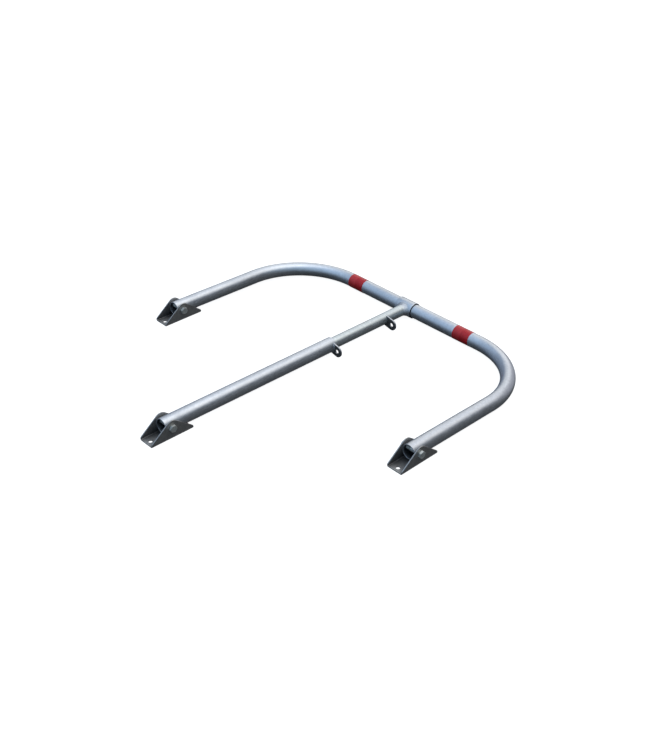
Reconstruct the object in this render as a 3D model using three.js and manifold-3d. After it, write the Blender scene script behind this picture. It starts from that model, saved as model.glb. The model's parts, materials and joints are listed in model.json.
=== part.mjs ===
// Folding parking barrier, lying folded flat on the ground.
//
// A tube hoop is hinged at two feet. A telescopic strut with its own foot ends in a sleeve that turns
// on the hoop's crossbar. Lifting the hoop shortens the strut until its two padlock lugs meet.
//
// Millimetres, +Z up. X runs along the crossbar and +Y from the feet towards it.
// The origin is under the middle of the folded barrier, on the ground.

import * as THREE from 'three';
import { mergeVertices } from 'three/addons/utils/BufferGeometryUtils.js';
import Module from 'manifold-3d';

// Hoop
const HOOP_OD = 42.4;
const HOOP_WALL = 2.6;
const LEG_SPACING = 950;
const LEG_REACH = 517; // hinge axis to crossbar axis
const BEND_RADIUS = 218;
const TUBE_STUB = 16; // open tube end past its pivot
const BAND_WIDTH = 58;
const BANDS_X = -10; // half way between the bands
const BAND_OFFSET = 213; // from there to the middle of a band
const BAND_THICKNESS = 0.3;

// Strut
const STRUT_X = -20;
const STRUT_SPAN = 380; // hoop hinge axis to the centre foot's pivot
const INNER_OD = 33.7;
const INNER_WALL = 2.6;
const OUTER_TUBE_END = 578; // from the centre foot's pivot, along the strut
const INNER_TUBE_OVERLAP = 150;
const SLEEVE_OD = 48.3;
const SLEEVE_WALL = 2.3;
const SLEEVE_LENGTH = 60;

// Padlock lugs
const LOWER_LUG_START = 569; // from the centre foot's pivot, along the strut
const UPPER_LUG_START = 793;
const LUG_THICKNESS = 4;
const LUG_HALF_WIDTH = 17;
const LUG_ROOT = 8; // strut axis to where the plate begins
const LUG_HOLE_REACH = 33; // strut axis to hole
const LUG_HOLE_DIAMETER = 12;
const LUG_DROOP = THREE.MathUtils.degToRad(13); // below horizontal

// Feet
const PIVOT_HEIGHT = 32;
const SHEET = 3;
const FOOT_WIDTH = 50;
const FOOT_HALF_LENGTH = 65;
const FOLD_INNER_RADIUS = 1.5;
const CHEEK_TOP_RADIUS = 21.5;
const CHEEK_TIP_RADIUS = 7;
const CHEEK_SLOPE = THREE.MathUtils.degToRad(38);
const ANCHOR_HOLE_DIAMETER = 11;
const ANCHOR_HOLE_OFFSET = 52; // pivot to hole, along the foot

// M12 pivot bolts
const BOLT_DIAMETER = 12;
const BOLT_LENGTH = 60;
const PIVOT_HOLE_DIAMETER = 13;
const HEX_ACROSS_FLATS = 19;
const HEAD_HEIGHT = 7.5;
const WASHER_DIAMETER = 24;
const WASHER_THICKNESS = 2.5;
const NUT_BORE_DIAMETER = 12.8;
const NUT_HEIGHT = 6;

// Welds
const SLEEVE_WELD_SIZE = 6;
const LUG_WELD_SIZE = 4;
const LUG_WELD_LENGTH = 3; // along the strut
const LOWER_WELD_HALF_ANGLE = THREE.MathUtils.degToRad(48);
const UPPER_WELD_HALF_ANGLE = THREE.MathUtils.degToRad(60);

// Faceting and the gap kept between touching pieces
const GAP = 0.3;
const TUBE_SIDES = 24;
const HOLE_SIDES = 16;
const CUTTER_SIDES = 48;
const BEND_STEPS = 12;
const ARC_SEGMENTS = 6;
const OVERCUT = 2; // how far a cutter reaches past what it cuts

// The folded barrier rests on its feet and its sleeve, so the hoop and the strut slope a little.
const CROSSBAR_HEIGHT = SLEEVE_OD / 2;
const DROP = PIVOT_HEIGHT - CROSSBAR_HEIGHT;
const HOOP_SLOPE = Math.asin(DROP / LEG_REACH);
const CROSSBAR_Y = LEG_REACH * Math.cos(HOOP_SLOPE);
const STRUT_LENGTH = Math.hypot(STRUT_SPAN + CROSSBAR_Y, DROP);
const STRUT_SLOPE = Math.asin(DROP / STRUT_LENGTH);

const HOOP_RADIUS = HOOP_OD / 2;
const INNER_RADIUS = INNER_OD / 2;
const SLEEVE_RADIUS = SLEEVE_OD / 2;
const HEAD_SEAT = FOOT_WIDTH / 2 + GAP;
const BOLT_TIP = HEAD_SEAT - BOLT_LENGTH;
const WASHER_START = -FOOT_WIDTH / 2 - GAP - WASHER_THICKNESS;
const NUT_START = WASHER_START - GAP - NUT_HEIGHT;

const MATERIALS = {
  hoopPaint: { color: 0x9fb0c4, roughness: 0.42, metalness: 0.55 },
  strutPaint: { color: 0xb9bec4, roughness: 0.4, metalness: 0.6 },
  footPaint: { color: 0x4a4f52, roughness: 0.5, metalness: 0.5 },
  zinc: { color: 0xa9aca6, roughness: 0.35, metalness: 0.9 },
  redTape: { color: 0xa81f28, roughness: 0.45, metalness: 0 },
};

const wasm = await Module();
wasm.setup();

function toSolid(geometry) {
  const bare = geometry.clone();
  bare.deleteAttribute('normal');
  bare.deleteAttribute('uv');
  const merged = mergeVertices(bare);
  const mesh = new wasm.Mesh({
    numProp: 3,
    vertProperties: merged.attributes.position.array,
    triVerts: Uint32Array.from(merged.index.array),
  });
  return new wasm.Manifold(mesh);
}

function toGeometry(solid) {
  const mesh = solid.getMesh();
  const geometry = new THREE.BufferGeometry();
  geometry.setAttribute('position', new THREE.BufferAttribute(mesh.vertProperties, 3));
  geometry.setIndex(new THREE.BufferAttribute(mesh.triVerts, 1));
  geometry.computeVertexNormals();
  return geometry;
}

function cut(geometry, ...cutters) {
  let solid = toSolid(geometry);
  for (const cutter of cutters) {
    solid = solid.subtract(toSolid(cutter));
  }
  return toGeometry(solid);
}

// Rods and pipes start at the origin and run along +X, +Y or +Z.
function along(geometry, axis) {
  if (axis === 'x') geometry.rotateZ(-Math.PI / 2);
  if (axis === 'z') geometry.rotateX(Math.PI / 2);
  return geometry;
}

function rod(radius, length, axis, sides) {
  const geometry = new THREE.CylinderGeometry(radius, radius, length, sides);
  geometry.translate(0, length / 2, 0);
  return along(geometry, axis);
}

function centredRod(radius, length, axis, sides) {
  const geometry = new THREE.CylinderGeometry(radius, radius, length, sides);
  return along(geometry, axis);
}

function pipe(innerRadius, outerRadius, length, axis) {
  const profile = [
    new THREE.Vector2(innerRadius, 0),
    new THREE.Vector2(outerRadius, 0),
    new THREE.Vector2(outerRadius, length),
    new THREE.Vector2(innerRadius, length),
    new THREE.Vector2(innerRadius, 0),
  ];
  return along(new THREE.LatheGeometry(profile, TUBE_SIDES), axis);
}

function hexPrism(height) {
  const cornerRadius = HEX_ACROSS_FLATS / 2 / Math.cos(Math.PI / 6);
  return rod(cornerRadius, height, 'x', 6);
}

// Extrudes a shape drawn in X and Z along -Y, starting at Y = 0.
function extrudeBackAlongY(shape, depth) {
  const geometry = new THREE.ExtrudeGeometry(shape, {
    depth, bevelEnabled: false, curveSegments: ARC_SEGMENTS,
  });
  return geometry.rotateX(Math.PI / 2);
}

// Extrudes a shape drawn in Y and Z along X, centred on X = 0.
function extrudeAcrossX(shape, depth) {
  const geometry = new THREE.ExtrudeGeometry(shape, {
    depth, bevelEnabled: false, curveSegments: ARC_SEGMENTS,
  });
  geometry.translate(0, 0, -depth / 2);
  const yzx = new THREE.Matrix4().makeBasis(
    new THREE.Vector3(0, 1, 0),
    new THREE.Vector3(0, 0, 1),
    new THREE.Vector3(1, 0, 0),
  );
  return geometry.applyMatrix4(yzx);
}

// A path through given stations, so that a sweep has sections only where the tube needs them.
class StationPath extends THREE.Curve {
  constructor(stations) {
    super();
    this.stations = stations;
  }

  station(u) {
    return this.stations[Math.round(u * (this.stations.length - 1))];
  }

  getPoint(u) {
    return this.station(u).point.clone();
  }

  getPointAt(u) {
    return this.getPoint(u);
  }

  getTangentAt(u) {
    return this.station(u).tangent.clone();
  }
}

function hoopStations() {
  const legX = LEG_SPACING / 2;
  const centreX = legX - BEND_RADIUS;
  const centreY = LEG_REACH - BEND_RADIUS;
  const towardsCrossbar = new THREE.Vector3(0, 1, 0);
  const towardsFeet = new THREE.Vector3(0, -1, 0);
  const stations = [{ point: new THREE.Vector3(-legX, -TUBE_STUB, 0), tangent: towardsCrossbar }];
  for (const side of [-1, 1]) {
    for (let step = 0; step <= BEND_STEPS; step += 1) {
      const turned = (step / BEND_STEPS) * (Math.PI / 2);
      const angle = side < 0 ? Math.PI - turned : Math.PI / 2 - turned;
      const outward = new THREE.Vector3(Math.cos(angle), Math.sin(angle), 0);
      const centre = new THREE.Vector3(side * centreX, centreY, 0);
      stations.push({
        point: centre.addScaledVector(outward, BEND_RADIUS),
        tangent: new THREE.Vector3(outward.y, -outward.x, 0),
      });
    }
  }
  stations.push({ point: new THREE.Vector3(legX, -TUBE_STUB, 0), tangent: towardsFeet });
  return stations;
}

function hoopTube() {
  const section = new THREE.Shape().absarc(0, 0, HOOP_RADIUS, 0, 2 * Math.PI, false);
  const bore = new THREE.Path().absarc(0, 0, HOOP_RADIUS - HOOP_WALL, 0, 2 * Math.PI, true);
  section.holes.push(bore);
  const stations = hoopStations();
  const tube = new THREE.ExtrudeGeometry(section, {
    steps: stations.length - 1,
    curveSegments: TUBE_SIDES / 2,
    extrudePath: new StationPath(stations),
  });
  const pivotHole = centredRod(
    PIVOT_HOLE_DIAMETER / 2, LEG_SPACING + HOOP_OD + OVERCUT, 'x', HOLE_SIDES,
  );
  return cut(tube, pivotHole);
}

function bandTape() {
  const innerRadius = HOOP_RADIUS + GAP;
  const tape = pipe(innerRadius, innerRadius + BAND_THICKNESS, BAND_WIDTH, 'x');
  return tape.translate(-BAND_WIDTH / 2, 0, 0);
}

// The feet's shapes are drawn about the pivot axis.
function channelSection() {
  const side = FOOT_WIDTH / 2;
  const inside = side - SHEET;
  const bottom = -PIVOT_HEIGHT;
  const floor = bottom + SHEET;
  const top = CHEEK_TOP_RADIUS + OVERCUT;
  const outerFold = FOLD_INNER_RADIUS + SHEET;
  const foldX = inside - FOLD_INNER_RADIUS;
  const foldZ = floor + FOLD_INNER_RADIUS;
  const section = new THREE.Shape();
  section.moveTo(-side, top);
  section.absarc(-foldX, foldZ, outerFold, Math.PI, 1.5 * Math.PI, false);
  section.absarc(foldX, foldZ, outerFold, 1.5 * Math.PI, 2 * Math.PI, false);
  section.lineTo(side, top);
  section.lineTo(inside, top);
  section.absarc(foldX, foldZ, FOLD_INNER_RADIUS, 2 * Math.PI, 1.5 * Math.PI, true);
  section.absarc(-foldX, foldZ, FOLD_INNER_RADIUS, 1.5 * Math.PI, Math.PI, true);
  section.lineTo(-inside, top);
  return section;
}

// A cheek seen from the side: round over the pivot, sloping down to a rounded tip at each end.
function cheekOutline() {
  const tipY = FOOT_HALF_LENGTH - CHEEK_TIP_RADIUS;
  const radiusStep = CHEEK_TOP_RADIUS - CHEEK_TIP_RADIUS;
  const tipZ = (radiusStep - tipY * Math.sin(CHEEK_SLOPE)) / Math.cos(CHEEK_SLOPE);
  const rise = Math.PI / 2 - CHEEK_SLOPE;
  const outline = new THREE.Shape();
  outline.moveTo(-FOOT_HALF_LENGTH, -PIVOT_HEIGHT - OVERCUT);
  outline.lineTo(FOOT_HALF_LENGTH, -PIVOT_HEIGHT - OVERCUT);
  outline.absarc(tipY, tipZ, CHEEK_TIP_RADIUS, 0, rise, false);
  outline.absarc(0, 0, CHEEK_TOP_RADIUS, rise, Math.PI - rise, false);
  outline.absarc(-tipY, tipZ, CHEEK_TIP_RADIUS, Math.PI - rise, Math.PI, false);
  return outline;
}

function footBracket() {
  const channelLength = 2 * (FOOT_HALF_LENGTH + OVERCUT);
  const channel = extrudeBackAlongY(channelSection(), channelLength);
  channel.translate(0, channelLength / 2, 0);
  const outline = extrudeAcrossX(cheekOutline(), FOOT_WIDTH + OVERCUT);
  const blank = toSolid(channel).intersect(toSolid(outline));
  const anchorHoles = [-1, 1].map((end) => {
    const hole = centredRod(ANCHOR_HOLE_DIAMETER / 2, 4 * SHEET, 'z', HOLE_SIDES);
    return hole.translate(0, end * ANCHOR_HOLE_OFFSET, -PIVOT_HEIGHT);
  });
  const pivotHole = centredRod(PIVOT_HOLE_DIAMETER / 2, FOOT_WIDTH + OVERCUT, 'x', HOLE_SIDES);
  return cut(toGeometry(blank), ...anchorHoles, pivotHole);
}

function pivotBolt() {
  const head = hexPrism(HEAD_HEIGHT).translate(HEAD_SEAT, 0, 0);
  const shank = rod(BOLT_DIAMETER / 2, BOLT_LENGTH + OVERCUT, 'x', HOLE_SIDES);
  shank.translate(BOLT_TIP, 0, 0);
  return toGeometry(toSolid(head).add(toSolid(shank)));
}

function washer() {
  const ring = pipe(PIVOT_HOLE_DIAMETER / 2, WASHER_DIAMETER / 2, WASHER_THICKNESS, 'x');
  return ring.translate(WASHER_START, 0, 0);
}

function thinNut() {
  const body = hexPrism(NUT_HEIGHT);
  const bore = rod(NUT_BORE_DIAMETER / 2, NUT_HEIGHT + 2 * OVERCUT, 'x', HOLE_SIDES);
  bore.translate(-OVERCUT, 0, 0);
  return cut(body, bore).translate(NUT_START, 0, 0);
}

// The strut's pieces are drawn from the centre foot's pivot along +Y.
function sleeveCutter(radius) {
  const cutter = centredRod(radius, SLEEVE_LENGTH, 'x', CUTTER_SIDES);
  return cutter.translate(0, STRUT_LENGTH, 0);
}

function strutOuterTube() {
  const tube = pipe(HOOP_RADIUS - HOOP_WALL, HOOP_RADIUS, TUBE_STUB + OUTER_TUBE_END, 'y');
  tube.translate(0, -TUBE_STUB, 0);
  const pivotHole = centredRod(PIVOT_HOLE_DIAMETER / 2, HOOP_OD + OVERCUT, 'x', HOLE_SIDES);
  return cut(tube, pivotHole);
}

function strutInnerTube() {
  const start = OUTER_TUBE_END - INNER_TUBE_OVERLAP;
  const tube = pipe(INNER_RADIUS - INNER_WALL, INNER_RADIUS, STRUT_LENGTH - start, 'y');
  tube.translate(0, start, 0);
  return cut(tube, sleeveCutter(SLEEVE_RADIUS + GAP));
}

function crossbarSleeve() {
  const sleeve = pipe(SLEEVE_RADIUS - SLEEVE_WALL, SLEEVE_RADIUS, SLEEVE_LENGTH, 'x');
  return sleeve.translate(-SLEEVE_LENGTH / 2, STRUT_LENGTH, 0);
}

function sleeveWeld() {
  const start = STRUT_LENGTH - SLEEVE_RADIUS - 2 * SLEEVE_WELD_SIZE;
  const innerRadius = INNER_RADIUS + GAP;
  const collar = pipe(innerRadius, innerRadius + SLEEVE_WELD_SIZE, STRUT_LENGTH - start, 'y');
  collar.translate(0, start, 0);
  const weldLine = sleeveCutter(SLEEVE_RADIUS + GAP + SLEEVE_WELD_SIZE);
  const near = toSolid(collar).intersect(toSolid(weldLine));
  return toGeometry(near.subtract(toSolid(sleeveCutter(SLEEVE_RADIUS + GAP))));
}

function lugPlate(tubeRadius, start) {
  const outline = new THREE.Shape();
  outline.moveTo(LUG_ROOT, -LUG_HALF_WIDTH);
  outline.absarc(LUG_HOLE_REACH, 0, LUG_HALF_WIDTH, -Math.PI / 2, Math.PI / 2, false);
  outline.lineTo(LUG_ROOT, LUG_HALF_WIDTH);
  const hole = new THREE.Path();
  hole.absarc(LUG_HOLE_REACH, 0, LUG_HOLE_DIAMETER / 2, 0, 2 * Math.PI, true);
  outline.holes.push(hole);
  const plate = extrudeBackAlongY(outline, LUG_THICKNESS);
  plate.rotateY(LUG_DROOP);
  plate.translate(0, start + LUG_THICKNESS, 0);
  const tube = rod(tubeRadius + GAP, LUG_THICKNESS + 2 * OVERCUT, 'y', TUBE_SIDES);
  return cut(plate, tube.translate(0, start - OVERCUT, 0));
}

function lugWeld(tubeRadius, halfAngle, start) {
  const innerRadius = tubeRadius + GAP;
  const bead = new THREE.Shape();
  bead.absarc(0, 0, innerRadius + LUG_WELD_SIZE, -halfAngle, halfAngle, false);
  bead.absarc(0, 0, innerRadius, halfAngle, -halfAngle, true);
  const geometry = extrudeBackAlongY(bead, LUG_WELD_LENGTH);
  geometry.rotateY(LUG_DROOP);
  return geometry.translate(0, start + LUG_WELD_LENGTH, 0);
}

function piece(name, geometry, finish) {
  const mesh = new THREE.Mesh(geometry, new THREE.MeshStandardMaterial(MATERIALS[finish]));
  mesh.name = name;
  return mesh;
}

function foot(name, x, y) {
  const group = new THREE.Group();
  group.add(piece(`${name}_foot_bracket`, footBracket(), 'footPaint'));
  group.add(piece(`${name}_pivot_bolt`, pivotBolt(), 'zinc'));
  group.add(piece(`${name}_pivot_washer`, washer(), 'zinc'));
  group.add(piece(`${name}_pivot_nut`, thinNut(), 'zinc'));
  group.position.set(x, y, PIVOT_HEIGHT);
  return group;
}

function hoop() {
  const group = new THREE.Group();
  group.add(piece('hoop_tube', hoopTube(), 'hoopPaint'));
  for (const [name, side] of [['left', -1], ['right', 1]]) {
    const band = piece(`${name}_reflective_band`, bandTape(), 'redTape');
    band.position.set(BANDS_X + side * BAND_OFFSET, LEG_REACH, 0);
    group.add(band);
  }
  group.position.set(0, 0, PIVOT_HEIGHT);
  group.rotation.x = -HOOP_SLOPE;
  return group;
}

function strut() {
  const group = new THREE.Group();
  const lowerLugEnd = LOWER_LUG_START + LUG_THICKNESS;
  const upperLugEnd = UPPER_LUG_START + LUG_THICKNESS;
  const lowerWeldFront = LOWER_LUG_START - GAP - LUG_WELD_LENGTH;
  const lowerWeld = (start) => lugWeld(HOOP_RADIUS, LOWER_WELD_HALF_ANGLE, start);
  const upperWeld = (start) => lugWeld(INNER_RADIUS, UPPER_WELD_HALF_ANGLE, start);
  group.add(piece('strut_outer_tube', strutOuterTube(), 'strutPaint'));
  group.add(piece('strut_inner_tube', strutInnerTube(), 'strutPaint'));
  group.add(piece('crossbar_sleeve', crossbarSleeve(), 'hoopPaint'));
  group.add(piece('sleeve_weld', sleeveWeld(), 'strutPaint'));
  group.add(piece('lower_padlock_lug', lugPlate(HOOP_RADIUS, LOWER_LUG_START), 'strutPaint'));
  group.add(piece('upper_padlock_lug', lugPlate(INNER_RADIUS, UPPER_LUG_START), 'strutPaint'));
  group.add(piece('lower_lug_weld_front', lowerWeld(lowerWeldFront), 'strutPaint'));
  group.add(piece('lower_lug_weld_rear', lowerWeld(lowerLugEnd + GAP), 'strutPaint'));
  group.add(piece('upper_lug_weld', upperWeld(upperLugEnd + GAP), 'strutPaint'));
  group.position.set(STRUT_X, -STRUT_SPAN, PIVOT_HEIGHT);
  group.rotation.x = -STRUT_SLOPE;
  return group;
}

function barrier() {
  const group = new THREE.Group();
  group.add(foot('left', -LEG_SPACING / 2, 0));
  group.add(foot('right', LEG_SPACING / 2, 0));
  group.add(foot('centre', STRUT_X, -STRUT_SPAN));
  group.add(hoop());
  group.add(strut());
  const middleX = (HEAD_SEAT + HEAD_HEIGHT + BOLT_TIP) / 2;
  const backEdge = CROSSBAR_Y + SLEEVE_RADIUS;
  const frontEdge = -STRUT_SPAN - FOOT_HALF_LENGTH;
  group.position.set(-middleX, -(backEdge + frontEdge) / 2, 0);
  return group;
}

export default barrier();
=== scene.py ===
"""Looks for the folding parking barrier: its smooth, detailed pieces, paint, light and camera."""

import json
import math

import bmesh
import bpy
import numpy as np
from mathutils import Matrix, Vector


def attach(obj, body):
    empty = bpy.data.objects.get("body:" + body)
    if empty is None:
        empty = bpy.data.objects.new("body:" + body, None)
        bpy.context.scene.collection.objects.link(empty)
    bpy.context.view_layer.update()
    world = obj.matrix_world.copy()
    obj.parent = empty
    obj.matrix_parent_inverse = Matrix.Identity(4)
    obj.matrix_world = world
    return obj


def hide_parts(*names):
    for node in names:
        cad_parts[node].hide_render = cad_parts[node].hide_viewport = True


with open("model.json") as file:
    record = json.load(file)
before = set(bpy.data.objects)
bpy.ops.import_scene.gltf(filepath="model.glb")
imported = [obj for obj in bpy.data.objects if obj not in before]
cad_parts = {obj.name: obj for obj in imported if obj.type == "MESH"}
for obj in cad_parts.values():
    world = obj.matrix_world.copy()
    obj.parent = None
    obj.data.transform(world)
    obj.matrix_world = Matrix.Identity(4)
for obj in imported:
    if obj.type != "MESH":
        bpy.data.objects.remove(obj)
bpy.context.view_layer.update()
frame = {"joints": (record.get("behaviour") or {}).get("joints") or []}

MM = 0.001
PIVOTS = {joint["name"]: Vector(joint["pos_m"]) for joint in frame["joints"] if "pos_m" in joint}
HOOP_HINGE = PIVOTS["hoop_raise"]
CROSSBAR = PIVOTS["sleeve_swivel"]
STRUT_FOOT = PIVOTS["centre_foot_tilt"]

# Sizes in millimetres, as in the CAD.
HOOP_RADIUS = 21.2
HOOP_WALL = 2.6
HALF_SPACING = 475.0
BEND_RADIUS = 218.0
TUBE_STUB = 16.0
BAND_WIDTH = 58.0
BANDS_X = -10.0
BAND_OFFSET = 213.0
TAPE = 0.3
INNER_RADIUS = 16.85
INNER_WALL = 2.6
OUTER_TUBE_END = 578.0
INNER_TUBE_OVERLAP = 150.0
SLEEVE_RADIUS = 24.15
SLEEVE_WALL = 2.3
SLEEVE_LENGTH = 60.0
LOWER_LUG_START = 569.0
UPPER_LUG_START = 793.0
LUG_THICKNESS = 4.0
LUG_HALF_WIDTH = 17.0
LUG_ROOT = 8.0
LUG_HOLE_REACH = 33.0
LUG_HOLE_RADIUS = 6.0
LUG_DROOP = math.radians(13)
PIVOT_HEIGHT = 32.0
SHEET = 3.0
FOOT_WIDTH = 50.0
FOOT_HALF_LENGTH = 65.0
FOLD_INNER_RADIUS = 1.5
CHEEK_TOP_RADIUS = 21.5
CHEEK_TIP_RADIUS = 7.0
CHEEK_SLOPE = math.radians(38)
ANCHOR_HOLE_RADIUS = 5.5
ANCHOR_HOLE_OFFSET = 52.0
PIVOT_HOLE_RADIUS = 6.5
BOLT_RADIUS = 6.0
BOLT_TIP = -34.7  # where the bolt ends, along X from the foot's middle
THREAD_LENGTH = 30.0
THREAD_PITCH = 1.75
THREAD_DEPTH = 1.0
HEX_ACROSS_FLATS = 19.0
HEAD_HEIGHT = 7.5
WASHER_RADIUS = 12.0
WASHER_THICKNESS = 2.5
NUT_BORE_RADIUS = 6.15
NUT_HEIGHT = 6.0
CONTACT = 0.03  # left between pieces that touch
RIM = 0.45  # radius of a tube's sawn edges
WELD_SUNK = 0.1  # how far a bead reaches under the surface it lies on
NO_SIZE = 0.001  # an edge shorter than this is taken out

TUBE_SIDES = 96
HEX_SIDES = 96
BAND_SIDES = 240
BEND_STEPS = 64
WELD_STEPS = 220
LUG_WELD_STEPS = 72

UP = np.array((0.0, 0.0, 1.0))
UV_NAME = "Along"


def placed(origin, y_axis=(0, 1, 0)):
    """A frame at origin, in metres, with its X along the object's X and its Y along y_axis."""
    y = Vector(y_axis).normalized()
    z = Vector((1, 0, 0)).cross(y).normalized()
    turn = Matrix(((1, y.x, z.x), (0, y.y, z.y), (0, y.z, z.z))).to_4x4()
    return Matrix.Translation(origin) @ turn


hoop_reach = Vector((0, CROSSBAR.y - HOOP_HINGE.y, CROSSBAR.z - HOOP_HINGE.z))
strut_reach = CROSSBAR - STRUT_FOOT
HOOP_FRAME = placed(HOOP_HINGE, hoop_reach)
STRUT_FRAME = placed(STRUT_FOOT, strut_reach)
STRUT_AXIS = strut_reach.normalized()
LEG_REACH = hoop_reach.length / MM
STRUT_LENGTH = strut_reach.length / MM


# Mesh tools --------------------------------------------------------------------------------------


def new_piece(name, points, faces, uvs=None):
    """An object from points in millimetres. uvs holds (u, v) in metres for each face corner."""
    mesh = bpy.data.meshes.new(name)
    mesh.from_pydata([tuple(p) for p in np.asarray(points, float) * MM], [], faces)
    if uvs is not None:
        layer = mesh.uv_layers.new(name=UV_NAME)
        layer.data.foreach_set("uv", np.asarray(uvs, np.float32).ravel())
    mesh.update()
    piece = bpy.data.objects.new(name, mesh)
    bpy.context.scene.collection.objects.link(piece)
    work = bmesh.new()
    work.from_mesh(mesh)
    bmesh.ops.recalc_face_normals(work, faces=work.faces)
    work.to_mesh(mesh)
    work.free()
    return piece


def skin(name, rings, travel, closed):
    """A skin over rings of equal size. closed joins the last ring to the first, else both are capped."""
    rings = np.asarray(rings, float)
    count, sides = rings.shape[:2]
    girth = np.linalg.norm(np.roll(rings[0], -1, axis=0) - rings[0], axis=1)
    around = np.r_[0, np.cumsum(girth)] * MM
    length = np.asarray(travel, float) * MM
    faces, uvs = [], []
    for i in range(count if closed else count - 1):
        k = (i + 1) % count
        for j in range(sides):
            m = (j + 1) % sides
            faces.append((i * sides + j, i * sides + m, k * sides + m, k * sides + j))
            uvs += [(around[j], length[i]), (around[j + 1], length[i])]
            uvs += [(around[j + 1], length[k]), (around[j], length[k])]
    if not closed:
        for i in (0, count - 1):
            faces.append(tuple(range(i * sides, (i + 1) * sides)))
            uvs += [(around[j], length[i]) for j in range(sides)]
    return new_piece(name, rings.reshape(-1, 3), faces, uvs)


def ring(centre, u, v, radius, sides=TUBE_SIDES, along=None, shift=0.0):
    """Points round a centre. Both radius and shift, a move by along, may differ from point to point."""
    angle = np.arange(sides) * 2 * math.pi / sides
    radius = np.broadcast_to(radius, sides)
    points = np.asarray(centre, float) + np.outer(radius * np.cos(angle), u)
    points = points + np.outer(radius * np.sin(angle), v)
    if along is not None:
        points = points + np.outer(np.broadcast_to(shift, sides), along)
    return points


def lathe(name, profile, axis, origin=(0, 0, 0), sides=TUBE_SIDES, closed=True):
    """Turns (radius, place) pairs about an axis. Either may be an array with a value for each side."""
    along = np.eye(3)["xyz".index(axis)]
    u, v = np.roll(along, 1), np.roll(along, 2)
    rings = [ring(origin, u, v, radius, sides, along, place) for radius, place in profile]
    travel = [float(np.mean(place)) for _, place in profile]
    return skin(name, rings, travel, closed)


def smooth(piece, sharp=32):
    piece.data.shade_smooth()
    piece.data.set_sharp_from_angle(angle=math.radians(sharp))
    return piece


def applied(piece):
    """Makes what the piece's modifiers show its mesh."""
    graph = bpy.context.evaluated_depsgraph_get()
    mesh = bpy.data.meshes.new_from_object(piece.evaluated_get(graph))
    old = piece.data
    piece.modifiers.clear()
    piece.data = mesh
    bpy.data.meshes.remove(old)
    return piece


def cleaned(piece):
    """Takes out edges and faces that have no size."""
    work = bmesh.new()
    work.from_mesh(piece.data)
    bmesh.ops.dissolve_degenerate(work, dist=NO_SIZE * MM, edges=work.edges)
    work.to_mesh(piece.data)
    work.free()
    return piece


def combine(piece, other, operation="DIFFERENCE"):
    modifier = piece.modifiers.new("solid", "BOOLEAN")
    modifier.operation = operation
    modifier.solver = "EXACT"
    modifier.object = other
    cleaned(applied(piece))
    mesh = other.data
    bpy.data.objects.remove(other)
    bpy.data.meshes.remove(mesh)
    return piece


def bevelled(piece, width):
    """Rounds the piece's sharp edges, and shades its flats flat."""
    modifier = piece.modifiers.new("edges", "BEVEL")
    modifier.width = width * MM
    modifier.segments = 3
    modifier.limit_method = "ANGLE"
    modifier.angle_limit = math.radians(38)
    smooth(cleaned(applied(piece)), 50)
    weights = piece.modifiers.new("normals", "WEIGHTED_NORMAL")
    weights.keep_sharp = True
    return applied(piece)


def rod(radius, length, axis, centre, sides=64):
    profile = [(radius, -length / 2), (radius, length / 2)]
    return lathe("cutter", profile, axis, centre, sides, closed=False)


def prism(name, outline, plane, low, high):
    """A flat outline, given as pairs, extruded from low to high along the axis that the plane leaves out."""
    depth_axis = ({0, 1, 2} - set(plane)).pop()
    points = []
    for depth in (low, high):
        for a, b in outline:
            point = [0.0, 0.0, 0.0]
            point[plane[0]], point[plane[1]], point[depth_axis] = a, b, depth
            points.append(point)
    count = len(outline)
    faces = [tuple(range(count)), tuple(range(count, 2 * count))]
    faces += [(i, (i + 1) % count, count + (i + 1) % count, count + i) for i in range(count)]
    return new_piece(name, points, faces)


def arc(centre, radius, start, end, steps):
    """Points on an arc between two angles in degrees."""
    angles = np.radians(np.linspace(start, end, steps + 1))
    return [(centre[0] + radius * math.cos(a), centre[1] + radius * math.sin(a)) for a in angles]


# Pipes -------------------------------------------------------------------------------------------

EDGE = [(RIM * (1 - math.cos(a)), RIM * (1 - math.sin(a))) for a in np.radians((0, 30, 60, 90))]


def pipe(name, path, outer, inner):
    """A pipe round a path of points and tangents, open at both ends, with rounded sawn edges."""
    points = np.array([point for point, _ in path], float)
    tangents = np.array([tangent for _, tangent in path], float)
    travel = np.r_[0, np.cumsum(np.linalg.norm(np.diff(points, axis=0), axis=1))]
    last = len(path) - 1
    turns = [(0, inset, outer - trim) for inset, trim in EDGE]
    turns += [(i, 0, outer) for i in range(1, last)]
    turns += [(last, -inset, outer - trim) for inset, trim in reversed(EDGE)]
    turns += [(last, -inset, inner + trim) for inset, trim in EDGE]
    turns += [(i, 0, inner) for i in range(last - 1, 0, -1)]
    turns += [(0, inset, inner + trim) for inset, trim in reversed(EDGE)]
    rings = [
        ring(points[i] + inset * tangents[i], np.cross(tangents[i], UP), UP, radius)
        for i, inset, radius in turns
    ]
    return skin(name, rings, [travel[i] + inset for i, inset, _ in turns], closed=True)


def straight(start, end, axis, centre=(0, 0, 0)):
    """A straight path along an axis, with a point 1 mm inside each end and one about every 12 mm."""
    along = np.eye(3)["xyz".index(axis)]
    inside = np.linspace(start + 1, end - 1, max(2, round((end - start) / 12)))
    return [(np.asarray(centre) + along * s, along) for s in (start, *inside, end)]


def pivot_bore(tube, span):
    """Drills a tube across, at its pivot, over a span along X."""
    return smooth(combine(tube, rod(PIVOT_HOLE_RADIUS, span + 4, "x", (0, 0, 0))))


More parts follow.
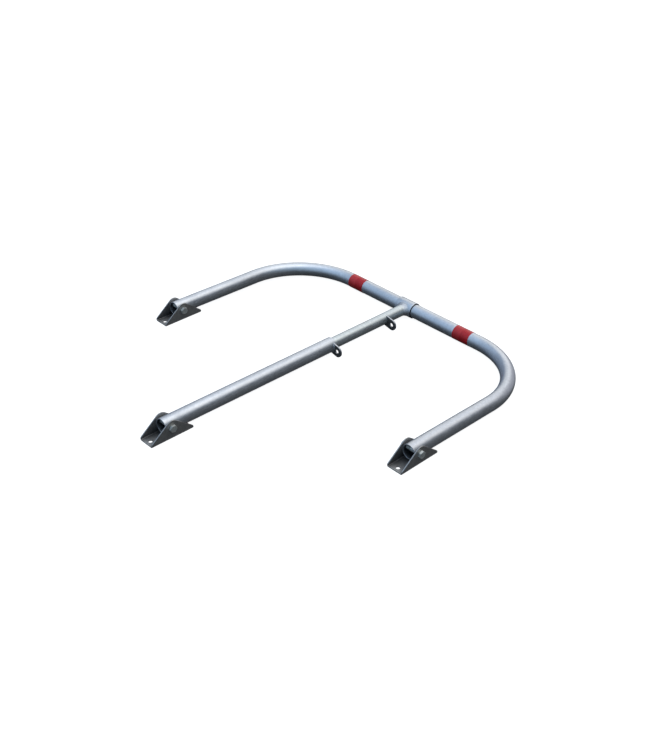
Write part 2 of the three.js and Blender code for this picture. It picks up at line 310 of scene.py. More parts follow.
def hoop_path():
    """The hoop's centre line, from the left leg's open end to the right leg's."""
    centre_x = HALF_SPACING - BEND_RADIUS
    centre_y = LEG_REACH - BEND_RADIUS
    leg = [y for (_, y, _), _ in straight(-TUBE_STUB, centre_y, "y")][:-1]
    path = [((-HALF_SPACING, y, 0), (0, 1, 0)) for y in leg]
    for side in (-1, 1):
        for turned in np.linspace(0, math.pi / 2, BEND_STEPS + 1):
            angle = math.pi - turned if side < 0 else math.pi / 2 - turned
            c, s = math.cos(angle), math.sin(angle)
            point = (side * centre_x + BEND_RADIUS * c, centre_y + BEND_RADIUS * s, 0)
            path.append((point, (s, -c, 0)))
        if side < 0:
            path += straight(-centre_x, centre_x, "x", (0, LEG_REACH, 0))[1:-1]
    return path + [((HALF_SPACING, y, 0), (0, -1, 0)) for y in reversed(leg)]


def hoop_tube():
    tube = pipe("hoop_pipe", hoop_path(), HOOP_RADIUS, HOOP_RADIUS - HOOP_WALL)
    return pivot_bore(tube, 2 * (HALF_SPACING + HOOP_RADIUS))


def strut_outer_tube():
    path = straight(-TUBE_STUB, OUTER_TUBE_END, "y")
    tube = pipe("strut_outer_pipe", path, HOOP_RADIUS, HOOP_RADIUS - HOOP_WALL)
    return pivot_bore(tube, 2 * HOOP_RADIUS)


def strut_inner_tube():
    """The inner tube, its end cut round to sit on the sleeve."""
    path = straight(OUTER_TUBE_END - INNER_TUBE_OVERLAP, STRUT_LENGTH, "y")
    tube = pipe("strut_inner_pipe", path, INNER_RADIUS, INNER_RADIUS - INNER_WALL)
    seat = rod(SLEEVE_RADIUS - 0.2, SLEEVE_LENGTH, "x", (0, STRUT_LENGTH, 0), 2 * TUBE_SIDES)
    return smooth(combine(tube, seat))


# Points on the black bead that stands as painted shade for the shadowed gap: the height over the crossbar,
# and the reach past the sleeve's end.
GAP_SHADE_BEAD = [(2.0, 0.8), (1.4, 1.6), (0.7, 2.1), (0.0, 2.3), (0.0, -0.5)]


def crossbar_sleeve():
    """The sleeve, with a black bead out of its right end round the crossbar, which stands as painted shade
    for the gap's shadow.
    """
    half = SLEEVE_LENGTH / 2
    bore = SLEEVE_RADIUS - SLEEVE_WALL
    crossbar = HOOP_RADIUS + CONTACT
    profile = [(SLEEVE_RADIUS, half - 6)]
    profile += [(SLEEVE_RADIUS - trim, half - inset) for inset, trim in reversed(EDGE)]
    profile += [(SLEEVE_RADIUS - RIM - 0.1, half)]
    profile += [(crossbar + height, half + reach) for height, reach in GAP_SHADE_BEAD]
    profile += [(bore, half - 3), (bore, half - 8)]
    profile += [(bore + trim, inset - half) for inset, trim in reversed(EDGE)]
    profile += [(SLEEVE_RADIUS - trim, inset - half) for inset, trim in EDGE]
    return smooth(lathe("sleeve", profile, "x", (0, STRUT_LENGTH, 0)))


def band(name, x, turned):
    """Tape wrapped once round the crossbar, its end lapped over its start. turned moves the lap, in steps."""
    lap_start, lap_end, slope = 2, 34, 1.5
    angle = np.arange(BAND_SIDES) * 360 / BAND_SIDES
    lap = np.clip((angle - lap_start) / slope, 0, 1) * np.clip((lap_end - angle) / slope, 0, 1)
    bottom = HOOP_RADIUS + CONTACT
    top = bottom + TAPE * (1 + np.roll(lap, turned))
    soft = 0.08
    half = BAND_WIDTH / 2
    profile = [(bottom, -half), (top - soft, -half), (top, -half + soft)]
    profile += [(top, s) for s in np.linspace(-half + 2, half - 2, 12)]
    profile += [(top, half - soft), (top - soft, half), (bottom, half)]
    return smooth(lathe(name, profile, "x", (x, LEG_REACH, 0), BAND_SIDES))


# Welds -------------------------------------------------------------------------------------------


def ripple(distance, across):
    """The crescent ripples of a weld bead, from 0 to 1; across goes from 0 to 1 over the bead."""
    pitch, bow = 1.5, 0.55
    phase = distance / pitch + bow * (2 * across - 1) ** 2
    return 0.5 + 0.5 * math.cos(2 * math.pi * phase)


def bead_section(first, corner, second, swell, distance):
    """Points over a fillet from first to second, swelling past the straight line, plus the buried corner."""
    ripple_height = 0.28
    first, corner, second = (np.asarray(p, float) for p in (first, corner, second))
    middle = (first + second) / 2
    outward = (middle - corner) / max(np.linalg.norm(middle - corner), 1e-6)
    section = []
    for t in np.linspace(0, 1, 9):
        hump = math.sin(math.pi * t)
        bump = 0
        if hump > 0:
            bump = swell * hump + ripple_height * math.sqrt(hump) * ripple(distance, t)
        section.append(first + (second - first) * t + outward * bump)
    return section + [corner]


def on_sleeve(radius, angle):
    """A point on the sleeve at a distance from the strut's axis, in a direction round it."""
    z = radius * math.sin(angle)
    return (radius * math.cos(angle), STRUT_LENGTH - math.sqrt(SLEEVE_RADIUS**2 - z * z), z)


def sleeve_weld():
    """The long, hollow fillet round the strut's inner tube where it meets the sleeve."""
    leg, hollow = 6.4, 0.9
    side_reach, top_reach = 11.0, 9.0
    sections, travel = [], []
    for angle in np.linspace(0, 2 * math.pi, WELD_STEPS, endpoint=False):
        meeting = on_sleeve(INNER_RADIUS - 0.3, angle)
        edge = on_sleeve(INNER_RADIUS, angle)
        reach = side_reach + (top_reach - side_reach) * abs(math.sin(angle))
        back = (edge[0], edge[1] - reach, edge[2])
        front = on_sleeve(INNER_RADIUS + leg, angle)
        distance = INNER_RADIUS * angle
        sections.append(bead_section(back, meeting, front, -hollow, distance))
        travel.append(distance)
    return smooth(skin("sleeve_weld_bead", sections, travel, closed=True), 60)


def lug_weld(name, tube_radius, half_angle, plate, forward):
    """A bead on a tube along one face of a lug. forward is 1 when it lies past the face, else -1."""
    size, end_size, swell = 3.0, 0.36, 0.35
    lap = np.array((0, forward * 0.15, 0))
    droop = Matrix.Rotation(LUG_DROOP, 3, "Y")
    sections, travel = [], []
    for share in np.linspace(-1, 1, LUG_WELD_STEPS):
        angle = share * half_angle
        leg = max(end_size, size * (1 - abs(share) ** 7))
        outward = np.array((math.cos(angle), 0, math.sin(angle)))
        foot = outward * (tube_radius - WELD_SUNK) + np.array((0, plate, 0)) - lap
        on_tube = foot + np.array((0, forward * leg, 0)) + outward * WELD_SUNK
        on_plate = foot + outward * leg + lap
        distance = tube_radius * angle
        section = bead_section(on_tube, foot, on_plate, swell, distance)
        sections.append([tuple(droop @ Vector(p)) for p in section])
        travel.append(distance)
    return smooth(skin(name, sections, travel, closed=False), 60)


# Lugs, feet and fasteners ------------------------------------------------------------------------


def lug(name, tube_radius, start):
    """A holed plate with a round end, cut to its tube."""
    outline = [(LUG_ROOT, -LUG_HALF_WIDTH)]
    outline += arc((LUG_HOLE_REACH, 0), LUG_HALF_WIDTH, -90, 90, 48)
    outline += [(LUG_ROOT, LUG_HALF_WIDTH)]
    plate = prism(name, outline, (0, 2), start, start + LUG_THICKNESS)
    middle = start + LUG_THICKNESS / 2
    through = 3 * LUG_THICKNESS
    combine(plate, rod(LUG_HOLE_RADIUS, through, "y", (LUG_HOLE_REACH, middle, 0), 72))
    combine(plate, rod(tube_radius - WELD_SUNK, through, "y", (0, middle, 0), TUBE_SIDES))
    plate.data.transform(Matrix.Rotation(LUG_DROOP, 4, "Y"))
    return bevelled(plate, 0.45)


def channel_section():
    """The foot's bent sheet, seen along the foot, its walls left 2 mm too tall."""
    side = FOOT_WIDTH / 2
    inside = side - SHEET
    floor = SHEET - PIVOT_HEIGHT
    fold = (inside - FOLD_INNER_RADIUS, floor + FOLD_INNER_RADIUS)
    outer = FOLD_INNER_RADIUS + SHEET
    top = CHEEK_TOP_RADIUS + 2
    right = [(inside, top), *arc(fold, FOLD_INNER_RADIUS, 0, -90, 8)]
    left = [(-x, z) for x, z in reversed(right)]
    outside = [*arc((-fold[0], fold[1]), outer, 180, 270, 12), *arc(fold, outer, 270, 360, 12)]
    return [(-side, top), *outside, (side, top), *right, *left]


def cheek_outline():
    """The foot from the side: a round top over the pivot, sloping to a rounded tip at each end."""
    tip_y = FOOT_HALF_LENGTH - CHEEK_TIP_RADIUS
    drop = CHEEK_TOP_RADIUS - CHEEK_TIP_RADIUS - tip_y * math.sin(CHEEK_SLOPE)
    tip_z = drop / math.cos(CHEEK_SLOPE)
    rise = 90 - math.degrees(CHEEK_SLOPE)
    bottom = -PIVOT_HEIGHT - 2
    outline = [(-FOOT_HALF_LENGTH, bottom), (FOOT_HALF_LENGTH, bottom)]
    outline += arc((tip_y, tip_z), CHEEK_TIP_RADIUS, 0, rise, 10)
    outline += arc((0, 0), CHEEK_TOP_RADIUS, rise, 180 - rise, 40)
    outline += arc((-tip_y, tip_z), CHEEK_TIP_RADIUS, 180 - rise, 180, 10)
    return outline


def foot_bracket(name):
    """A bent channel, trimmed to the cheeks' outline, with its anchor and pivot holes."""
    reach = FOOT_HALF_LENGTH + 2
    bracket = prism(name, channel_section(), (0, 2), -reach, reach)
    combine(bracket, prism("cheeks", cheek_outline(), (1, 2), -FOOT_WIDTH, FOOT_WIDTH), "INTERSECT")
    for end in (-1, 1):
        centre = (0, end * ANCHOR_HOLE_OFFSET, -PIVOT_HEIGHT)
        combine(bracket, rod(ANCHOR_HOLE_RADIUS, 4 * SHEET, "z", centre))
    combine(bracket, rod(PIVOT_HOLE_RADIUS, FOOT_WIDTH + 4, "x", (0, 0, 0)))
    return bevelled(bracket, 0.4)


def hex_radius():
    """The distance to a hexagon's outline from its middle, all round it, its corners slightly dulled."""
    half_flat = HEX_ACROSS_FLATS / 2
    sixth = math.pi / 6
    angle = np.arange(HEX_SIDES) * 2 * math.pi / HEX_SIDES
    outline = half_flat / np.cos((angle + sixth) % (2 * sixth) - sixth)
    return np.minimum(outline, half_flat / math.cos(sixth) * 0.985)


def chamfer(radius, rim_radius):
    """How far a 30 degree chamfer that starts at rim_radius has dropped at each radius."""
    return (np.asarray(radius) - rim_radius) * math.tan(math.radians(30))


def bolt_head(seat):
    """A hex head's profile: a dished top, a chamfer, the flats and a washer face."""
    hexagon = hex_radius()
    top = seat + HEAD_HEIGHT
    crown = 0.93 * HEX_ACROSS_FLATS / 2
    dish = 0.25
    profile = [(crown - 1.3, top - dish), (crown - 0.9, top), (crown, top)]
    profile += [(hexagon, top - chamfer(hexagon, crown)), (hexagon, seat + 0.5)]
    return profile + [(crown, seat + 0.35), (crown, seat)]


def bolt_thread(start):
    """A thread's profile, fading in at its start, with a chamfered nose."""
    fade_length, nose_length = 2, 1.0
    turn = np.arange(HEX_SIDES) / HEX_SIDES
    profile = []
    for place in np.arange(start, BOLT_TIP, -THREAD_PITCH / 10):
        groove = np.abs(2 * ((place / THREAD_PITCH + turn) % 1) - 1)
        fade_in = min(1, (start - place) / fade_length)
        nose = max(0, nose_length - (place - BOLT_TIP))
        depth = THREAD_DEPTH * np.clip(groove * 1.25 - 0.1, 0, 1) * fade_in
        profile.append((np.minimum(BOLT_RADIUS - depth, BOLT_RADIUS - nose), place))
    return profile + [(BOLT_RADIUS - 1.1, BOLT_TIP)]


def hex_piece(name, profile, turned, closed):
    """A bolt or nut from its profile, turned about its axis by some degrees."""
    piece = lathe(name, profile, "x", sides=HEX_SIDES, closed=closed)
    piece.data.transform(Matrix.Rotation(math.radians(turned), 4, "X"))
    return smooth(piece, 24)


def pivot_bolt(name, turned):
    """A bolt with its head towards +X, a plain shank and a cut thread."""
    seat = FOOT_WIDTH / 2 + CONTACT
    fillet = [(BOLT_RADIUS + 0.4, seat), (BOLT_RADIUS + 0.12, seat - 0.12), (BOLT_RADIUS, seat - 0.4)]
    thread_start = BOLT_TIP + THREAD_LENGTH
    shank = [(BOLT_RADIUS, s) for s in np.linspace(seat - 2, thread_start + 0.2, 8)]
    profile = bolt_head(seat) + fillet + shank + bolt_thread(thread_start)
    return hex_piece(name, profile, turned, closed=False)


def pivot_washer(name):
    start = -FOOT_WIDTH / 2 - CONTACT - WASHER_THICKNESS
    end = start + WASHER_THICKNESS
    inner, outer = PIVOT_HOLE_RADIUS, WASHER_RADIUS
    soft, corner = 0.35, 0.1
    profile = [(inner + soft, start), (outer - soft, start), (outer - corner, start + corner)]
    profile += [(outer, start + soft), (outer, end - soft)]
    profile += [(outer - corner, end - corner), (outer - soft, end)]
    profile += [(inner + soft, end), (inner, end - soft), (inner, start + soft)]
    return smooth(lathe(name, profile, "x"))


def pivot_nut(name, turned):
    """A thin nut on the washer, chamfered on both sides."""
    hexagon = hex_radius()
    high = -FOOT_WIDTH / 2 - 2 * CONTACT - WASHER_THICKNESS
    low = high - NUT_HEIGHT
    crown = 0.94 * HEX_ACROSS_FLATS / 2
    drop = chamfer(hexagon, crown)
    bore, sink = NUT_BORE_RADIUS, 0.7
    profile = [(bore + sink, low), (crown, low), (hexagon, low + drop), (hexagon, high - drop)]
    profile += [(crown, high), (bore + sink, high), (bore, high - sink), (bore, low + sink)]
    return hex_piece(name, profile, turned, closed=True)


# Materials ---------------------------------------------------------------------------------------


class Graph:
    """A node tree, built in order."""

    def __init__(self, tree):
        self.tree = tree

    def add(self, kind, links=None, values=None, **settings):
        """A node with its settings, the sources that its sockets are linked to and their plain values."""
        node = self.tree.nodes.new("ShaderNode" + kind)
        for key, value in settings.items():
            setattr(node, key, value)
        for socket, value in (values or {}).items():
            node.inputs[socket].default_value = value
        for socket, source in (links or {}).items():
            self.tree.links.new(source, node.inputs[socket])
        return node

    def spread(self, source, low, high, to_low=0.0, to_high=1.0, kind="LINEAR"):
        """Maps low to to_low and high to to_high, and stops there."""
        values = {"From Min": low, "From Max": high, "To Min": to_low, "To Max": to_high}
        node = self.add("MapRange", {"Value": source}, values, interpolation_type=kind)
        return node.outputs["Result"]

    def math(self, operation, a, b):
        node = self.add("Math", operation=operation)
        for socket, value in ((0, a), (1, b)):
            if isinstance(value, (int, float)):
                node.inputs[socket].default_value = value
            else:
                self.tree.links.new(value, node.inputs[socket])
        return node.outputs[0]

    def blend(self, amount, a, b):
        """Mixes two colours, each a socket or three numbers."""
        node = self.add("Mix", {"Factor": amount}, data_type="RGBA")
        for socket, value in (("A", a), ("B", b)):
            target = next(s for s in node.inputs if s.name == socket and s.type == "RGBA")
            if isinstance(value, tuple):
                target.default_value = (*value, 1)
            else:
                self.tree.links.new(value, target)
        return next(s for s in node.outputs if s.type == "RGBA")

    def vector_math(self, operation, a, b):
        """Works on two vectors, the second one plain numbers."""
        return self.add("VectorMath", {0: a}, {1: b}, operation=operation).outputs[0]


class Surface(Graph):
    """A material's node tree."""

    def __init__(self, name):
        self.material = bpy.data.materials.new(name)
        self.material.use_nodes = True
        super().__init__(self.material.node_tree)
        self.shader = self.tree.nodes["Principled BSDF"]

    def point(self, scale=(1, 1, 1)):
        """Object coordinates in metres, scaled."""
        where = self.add("TexCoord").outputs["Object"]
        return self.add("Mapping", {"Vector": where}, {"Scale": scale}).outputs["Vector"]

    def along(self, scale=(1, 1, 1)):
        """The mesh's own (round, along) coordinates in metres, scaled."""
        where = self.add("UVMap", uv_map=UV_NAME).outputs["UV"]
        return self.add("Mapping", {"Vector": where}, {"Scale": scale}).outputs["Vector"]

    def noise(self, vector, scale, detail=3, roughness=0.55):
        values = {"Scale": scale, "Detail": detail, "Roughness": roughness}
        return self.add("TexNoise", {"Vector": vector}, values).outputs["Fac"]

    def cells(self, vector, scale):
        """A random tone for each cell, of which there are scale to the metre."""
        return self.add("TexVoronoi", {"Vector": vector}, {"Scale": scale}).outputs["Color"]

    def enclosed(self, reach, open_at, closed_at):
        """How far the piece's own walls shut a place in, from 0 in the open to 1."""
        node = self.add("AmbientOcclusion", values={"Distance": reach}, only_local=True, samples=8)
        return self.spread(node.outputs["AO"], open_at, closed_at)

    def bump(self, height, distance, strength=1.0, normal=None):
        links = {"Height": height}
        if normal is not None:
            links["Normal"] = normal
        values = {"Distance": distance, "Strength": strength}
        return self.add("Bump", links, values).outputs["Normal"]

    def set(self, **values):
        """Sets the shader's sockets: numbers stay on the socket, sockets are linked."""
        for name, value in values.items():
            socket = self.shader.inputs[name.replace("_", " ")]
            if isinstance(value, (int, float)):
                socket.default_value = value
            elif isinstance(value, tuple):
                socket.default_value = (*value, 1)
            else:
                self.tree.links.new(value, socket)
        return self.material


RECESS_SHADE = (0.035, 0.038, 0.045)  # painted shade inside a tube or a channel
ZINC_DARK = (0.66, 0.68, 0.64)
ZINC_LIGHT = (0.86, 0.87, 0.82)
ZINC_BLOOM = (0.55, 0.55, 0.50)
TAPE_DARK = (0.40, 0.008, 0.012)
TAPE_LIGHT = (0.52, 0.014, 0.018)
TAPE_WALL = (0.60, 0.06, 0.06)
TAPE_GRIME = (0.22, 0.02, 0.02)
TAPE_CELL = 0.0035  # width of a cell of the film, in metres
# Painted shade: the near-black of the shadowed gap at the sleeve's end.
GAP_SHADE_DARK = (0.006, 0.006, 0.007)
GAP_SHADE_LIGHT = (0.02, 0.019, 0.018)


def flaked(n, here, light, dark):
    """The paint's colour: patches, mottle and flakes between two tones, with dust on them."""
    patches = n.spread(n.noise(here, 11, 4), 0.35, 0.65)
    mottle = n.spread(n.noise(here, 130, 3, 0.65), 0.38, 0.62)
    flake = n.spread(n.cells(here, 1500), 0.15, 0.95)
    tone = n.math("MULTIPLY", patches, 0.35)
    tone = n.math("ADD", tone, n.math("MULTIPLY", mottle, 0.35))
    tone = n.math("ADD", tone, n.math("MULTIPLY", flake, 0.3))
    colour = n.blend(tone, dark, light)
    dust = n.spread(n.noise(here, 38, 6, 0.7), 0.58, 0.8, 0, 0.5)
    return n.blend(dust, colour, tuple(c * 0.72 for c in dark))


def paint(name, light, dark, metal, rough):
    """Metal-flake paint on steel, with orange peel and fine scuffs, and painted shade where its own walls
    shut it in.
    """
    n = Surface(name)
    here = n.point()
    # Painted shade: the colour goes dark where the piece's own walls enclose the surface.
    painted_shade = n.math("MULTIPLY", n.enclosed(0.045, 0.95, 0.45), 0.92)
    colour = n.blend(painted_shade, flaked(n, here, light, dark), RECESS_SHADE)
    scuff = n.spread(n.noise(n.point((1, 1, 14)), 60, 2, 0.7), 0.68, 0.8)
    roughness = n.spread(n.noise(here, 26, 4, 0.6), 0.3, 0.7, rough - 0.06, rough + 0.08)
    roughness = n.math("ADD", roughness, n.math("MULTIPLY", scuff, 0.08))
    peel = n.bump(n.noise(here, 420, 2, 0.5), 0.00006, 0.5)
    grain = n.bump(n.noise(here, 2600, 2, 0.6), 0.00002, 0.5, peel)
    n.set(Coat_Weight=0.12, Coat_Roughness=0.25)
    return n.set(Base_Color=colour, Metallic=metal, Roughness=roughness, Normal=grain)


def zinc(name):
    """Zinc-plated steel: a faint crystalline spangle, a dull bloom and turning marks."""
    n = Surface(name)
    here = n.point()
    spangle = n.spread(n.cells(here, 420), 0.1, 0.9)
    bloom = n.spread(n.noise(here, 140, 4, 0.6), 0.4, 0.7)
    colour = n.blend(spangle, ZINC_DARK, ZINC_LIGHT)
    colour = n.blend(n.math("MULTIPLY", bloom, 0.5), colour, ZINC_BLOOM)
    roughness = n.spread(n.noise(here, 300, 3, 0.6), 0.3, 0.7, 0.34, 0.52)
    marks = n.bump(n.noise(n.point((6, 1, 1)), 900, 3, 0.6), 0.00003, 0.5)
    return n.set(Base_Color=colour, Metallic=0.75, Roughness=roughness, Normal=marks)


def honeycomb(n):
    """The walls of a honeycomb of cells, 1 on a wall and 0 inside a cell."""
    rows = math.sqrt(3)
    where = n.along((1 / TAPE_CELL, 1 / TAPE_CELL, 1))
    distances = []
    for shift in (0.0, 0.5):
        moved = n.vector_math("ADD", where, (shift, shift * rows, 0))
        cut = n.vector_math("MODULO", moved, (1, rows, 1))
        local = n.vector_math("SUBTRACT", cut, (0.5, rows / 2, 0))
        parts = n.add("SeparateXYZ", {0: local}).outputs
        x = n.math("ABSOLUTE", parts[0], 0)
        y = n.math("ABSOLUTE", parts[1], 0)
        slanted = n.math("ADD", n.math("MULTIPLY", x, 0.5), n.math("MULTIPLY", y, rows / 2))
        distances.append(n.math("MAXIMUM", x, slanted))
    return n.spread(n.math("MINIMUM", *distances), 0.455, 0.49)


def tape(name):
    """Red retroreflective film: a fine honeycomb under a clear gloss face, with faint creases and grime."""
    n = Surface(name)
    wall = honeycomb(n)
    here = n.point()
    depth = n.spread(n.noise(here, 90, 4, 0.6), 0.3, 0.7)
    colour = n.blend(depth, TAPE_DARK, TAPE_LIGHT)
    colour = n.blend(n.math("MULTIPLY", wall, 0.35), colour, TAPE_WALL)
    grime = n.spread(n.noise(here, 30, 6, 0.7), 0.58, 0.8, 0, 0.35)
    colour = n.blend(grime, colour, TAPE_GRIME)
    roughness = n.spread(n.noise(here, 70, 4, 0.6), 0.3, 0.7, 0.24, 0.38)
    cells = n.bump(wall, 0.00003, 0.5)
    creases = n.bump(n.noise(n.along((1, 6, 1)), 120, 3, 0.6), 0.00008, 0.4, cells)
    n.set(Specular_IOR_Level=0.25, Coat_Weight=0.15, Coat_Roughness=0.2)
    return n.set(Base_Color=colour, Metallic=0.0, Roughness=roughness, Normal=creases)


def black_gap_shade(name):
    """Painted shade for the shadowed gap at the sleeve's end: near-black, with grit in it."""
    n = Surface(name)
    here = n.point()
    grit = n.spread(n.noise(here, 900, 4, 0.7), 0.4, 0.7)
    colour = n.blend(grit, GAP_SHADE_DARK, GAP_SHADE_LIGHT)
    roughness = n.spread(n.noise(here, 200, 3, 0.6), 0.3, 0.7, 0.45, 0.65)
    lumps = n.bump(grit, 0.00005, 0.6)
    return n.set(Base_Color=colour, Roughness=roughness, Normal=lumps, Specular_IOR_Level=0.2)


# Each paint: its light and dark tones, how metallic and how rough it is.
SILVER = paint("silver_flake_paint", (0.66, 0.685, 0.715), (0.49, 0.51, 0.535), 0.85, 0.36)
INNER_SILVER = paint("inner_silver_flake_paint", (0.655, 0.70, 0.70), (0.485, 0.52, 0.52), 0.85, 0.36)
# A rougher copy of the silver, also made darker as painted shade to dim the highlights on the welds and lugs.
ROUGH_SHADED_SILVER = paint("rough_shaded_silver_flake_paint", (0.55, 0.565, 0.585), (0.40, 0.41, 0.425), 0.85, 0.42)
FOOT_PAINT = paint("foot_flake_paint", (0.45, 0.435, 0.41), (0.31, 0.30, 0.285), 0.75, 0.42)
# Painted shade: a near-black copy of the paint for the lugs' flat sides.
LUG_SHADE_PAINT = paint("lug_shade_flake_paint", (0.20, 0.20, 0.195), (0.13, 0.13, 0.127), 0.75, 0.42)
ZINC = zinc("zinc_plating")
TAPE_FILM = tape("red_reflective_film")
GAP_SHADE = black_gap_shade("painted_gap_shade")


# Assembly ----------------------------------------------------------------------------------------


def settle(piece, place, body, slot, material, *nodes):
    """Puts a finished piece in its place on its body, in its material, for the CAD nodes it stands for."""
    piece.data.transform(place)
    piece.data.materials.clear()
    piece.data.materials.append(material)
    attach(piece, body)
    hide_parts(*nodes)


def shade_gap_faces(sleeve):
    """Puts the painted shade on the sleeve's faces that lie inside its outer skin."""
    sleeve.data.materials.append(GAP_SHADE)
    limit = (SLEEVE_RADIUS - RIM / 2) * MM
    for face in sleeve.data.polygons:
        reach = [(sleeve.data.vertices[i].co - CROSSBAR).yz.length for i in face.vertices]
        if max(reach) < limit:
            face.material_index = 1


def shade_lug_sides(plate):
    """Gives a lug's two sides a near-black copy of the paint as painted shade, and leaves its cut edges
    bright.
    """
    plate.data.materials.append(LUG_SHADE_PAINT)
    for face in plate.data.polygons:
        if abs(face.normal.dot(STRUT_AXIS)) > 0.9:
            face.material_index = 1


def build_foot(name, body, pivot, turned):
    """A bracket and its pivot's bolt, washer and nut, the hexagons turned by some degrees."""
    place = placed(pivot)
    bracket = foot_bracket(f"{name}_foot")
    settle(bracket, place, body, "foot_paint", FOOT_PAINT, f"{name}_foot_bracket")
    fasteners = [
        (pivot_bolt(f"{name}_bolt", turned), f"{name}_pivot_bolt"),
        (pivot_washer(f"{name}_washer"), f"{name}_pivot_washer"),
        (pivot_nut(f"{name}_nut", 2.5 * turned), f"{name}_pivot_nut"),
    ]
    for piece, node in fasteners:
        settle(piece, place, body, "galvanised_fasteners", ZINC, node)


def build_hoop():
    settle(hoop_tube(), HOOP_FRAME, "hoop", "silver_paint", SILVER, "hoop_tube")
    for name, side, turned in (("left", -1, 150), ("right", 1, 165)):
        wrap = band(f"{name}_band", BANDS_X + side * BAND_OFFSET, turned)
        settle(wrap, HOOP_FRAME, "hoop", "red_tape", TAPE_FILM, f"{name}_reflective_band")


def settle_strut(piece, body, material, node):
    settle(piece, STRUT_FRAME, body, "silver_paint", material, node)


def build_lugs():
    upper = lug("upper_lug", INNER_RADIUS, UPPER_LUG_START)
    lower = lug("lower_lug", HOOP_RADIUS, LOWER_LUG_START)
    settle_strut(upper, "strut_upper", ROUGH_SHADED_SILVER, "upper_padlock_lug")
    settle_strut(lower, "strut_lower", ROUGH_SHADED_SILVER, "lower_padlock_lug")
    shade_lug_sides(upper)
    shade_lug_sides(lower)


def build_lug_welds():
    upper_end = UPPER_LUG_START + LUG_THICKNESS
    lower_end = LOWER_LUG_START + LUG_THICKNESS
    upper_half, lower_half = math.radians(60), math.radians(48)
    upper = lug_weld("upper_lug_bead", INNER_RADIUS, upper_half, upper_end, 1)
    front = lug_weld("lower_lug_front_bead", HOOP_RADIUS, lower_half, LOWER_LUG_START, -1)
    rear = lug_weld("lower_lug_rear_bead", HOOP_RADIUS, lower_half, lower_end, 1)
    settle_strut(upper, "strut_upper", ROUGH_SHADED_SILVER, "upper_lug_weld")
    settle_strut(front, "strut_lower", ROUGH_SHADED_SILVER, "lower_lug_weld_front")
    settle_strut(rear, "strut_lower", ROUGH_SHADED_SILVER, "lower_lug_weld_rear")


def build_strut():
    sleeve = crossbar_sleeve()
    settle_strut(sleeve, "strut_upper", SILVER, "crossbar_sleeve")
    shade_gap_faces(sleeve)
    build_lugs()
    settle_strut(strut_inner_tube(), "strut_upper", INNER_SILVER, "strut_inner_tube")
    settle_strut(sleeve_weld(), "strut_upper", ROUGH_SHADED_SILVER, "sleeve_weld")
    build_lug_welds()
    settle_strut(strut_outer_tube(), "strut_lower", SILVER, "strut_outer_tube")


left_pivot = HOOP_HINGE - Vector((HALF_SPACING * MM, 0, 0))
right_pivot = HOOP_HINGE + Vector((HALF_SPACING * MM, 0, 0))
build_foot("left", "ground_feet", left_pivot, 9)
build_foot("right", "ground_feet", right_pivot, -13)
build_foot("centre", "centre_foot", STRUT_FOOT, 24)
build_hoop()
build_strut()


# Floor, light and camera -------------------------------------------------------------------------


def build_floor():
    """A plain pale floor, which the pieces don't mirror."""
    half = 30000
    corners = [(-half, -half, 0), (half, -half, 0), (half, half, 0), (-half, half, 0)]
    floor = new_piece("floor", corners, [(0, 1, 2, 3)])
    n = Surface("pale_floor")
    n.set(Base_Color=(0.35, 0.35, 0.35), Roughness=0.9)
    n.set(Emission_Color=(1, 1, 1), Emission_Strength=0.92)
    floor.data.materials.append(n.material)
    floor.visible_glossy = False
    floor.visible_diffuse = False


BELOW = (0.034, 0.036, 0.038)
ABOVE = (0.02, 0.015, 0.01)

# Each glow is a soft patch of sky: its direction, the angles where it is full and gone, its colour.
GLOWS = [
    ((0.13, 0.26, 0.96), 0, 46, (1.42, 1.30, 1.14)),
    ((-0.56, 0.71, 0.42), 13, 28, (0.88, 0.85, 0.77)),
    ((-0.72, -0.14, 0.68), 40, 81, (0.16, 0.21, 0.31)),
    ((0.12, -0.40, 0.91), 16, 84, (0.42, 0.60, 0.81)),
    ((0.0, 0.95, 0.30), 5, 45, (0.45, 0.46, 0.53)),
    ((0.75, 0.55, -0.35), 30, 80, (0.03, 0.032, 0.034)),
]


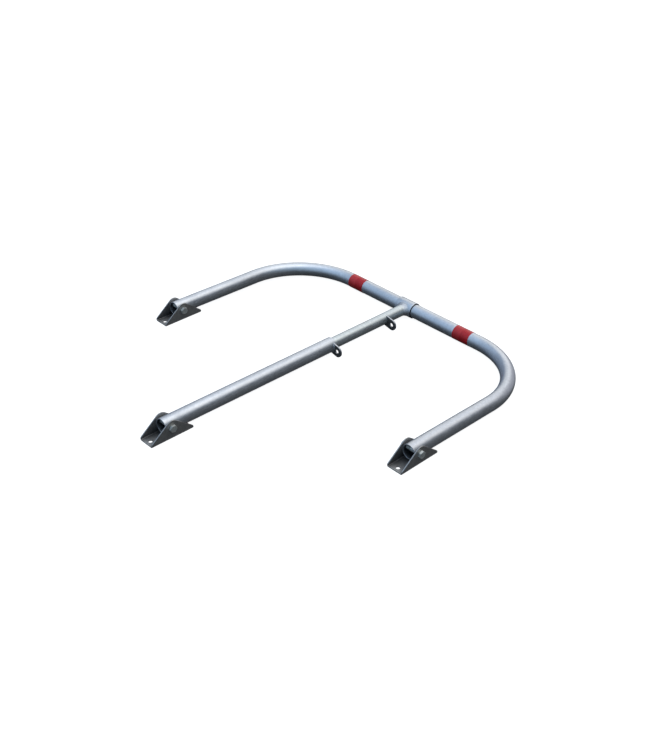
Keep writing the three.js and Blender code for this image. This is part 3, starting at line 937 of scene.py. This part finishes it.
def sky(n):
    """The glows, on a backdrop that is dim below the horizon and dimmer above it."""
    direction = n.add("TexCoord").outputs["Generated"]
    height = n.add("SeparateXYZ", {0: direction}).outputs["Z"]
    total = n.blend(n.spread(height, -0.12, 0.15, kind="SMOOTHSTEP"), BELOW, ABOVE)
    for centre, full, gone, colour in GLOWS:
        middle = {1: Vector(centre).normalized()}
        dot = n.add("VectorMath", {0: direction}, middle, operation="DOT_PRODUCT").outputs["Value"]
        outside, inside = (math.cos(math.radians(angle)) for angle in (gone, full))
        amount = n.spread(dot, outside, inside, kind="SMOOTHSTEP")
        lit = n.add("VectorMath", {"Scale": amount}, {0: colour}, operation="SCALE").outputs[0]
        total = n.add("VectorMath", {0: total, 1: lit}, operation="ADD").outputs[0]
    return total


def build_world():
    """The sky lights the pieces, and a plain white one stands behind them."""
    world = bpy.data.worlds.new("studio")
    bpy.context.scene.world = world
    world.use_nodes = True
    world.node_tree.nodes.clear()
    n = Graph(world.node_tree)
    light = n.add("Background", {"Color": sky(n)}).outputs[0]
    plain = n.add("Background", values={"Color": (1, 1, 1, 1)}).outputs[0]
    seen = n.add("LightPath").outputs["Is Camera Ray"]
    choice = n.add("MixShader", {0: seen, 1: light, 2: plain}).outputs[0]
    n.add("OutputWorld", {0: choice})


# The camera as solved from the photo, and the point in metres that it looks at from DISTANCE.
AZIMUTH = math.radians(45.90)
ELEVATION = math.radians(33.45)
ROLL = math.radians(0.88)
TARGET = Vector((0.0553, 0.0548, 0.0))
DISTANCE = 2.903
LENS = 50.37
SENSOR_WIDTH = 36


def build_camera():
    back = Vector((
        math.sin(AZIMUTH) * math.cos(ELEVATION),
        -math.cos(AZIMUTH) * math.cos(ELEVATION),
        math.sin(ELEVATION),
    ))
    level = Vector((math.cos(AZIMUTH), math.sin(AZIMUTH), 0))
    upward = level.cross(-back)
    right = math.cos(ROLL) * level + math.sin(ROLL) * upward
    up = math.cos(ROLL) * upward - math.sin(ROLL) * level
    data = bpy.data.cameras.new("camera")
    data.lens = LENS
    data.sensor_width = SENSOR_WIDTH
    camera = bpy.data.objects.new("camera", data)
    turn = Matrix((right, up, back)).transposed().to_4x4()
    camera.matrix_world = Matrix.Translation(TARGET + DISTANCE * back) @ turn
    bpy.context.scene.collection.objects.link(camera)
    bpy.context.scene.camera = camera


build_floor()
build_world()
build_camera()
bpy.context.scene.view_settings.view_transform = "Standard"
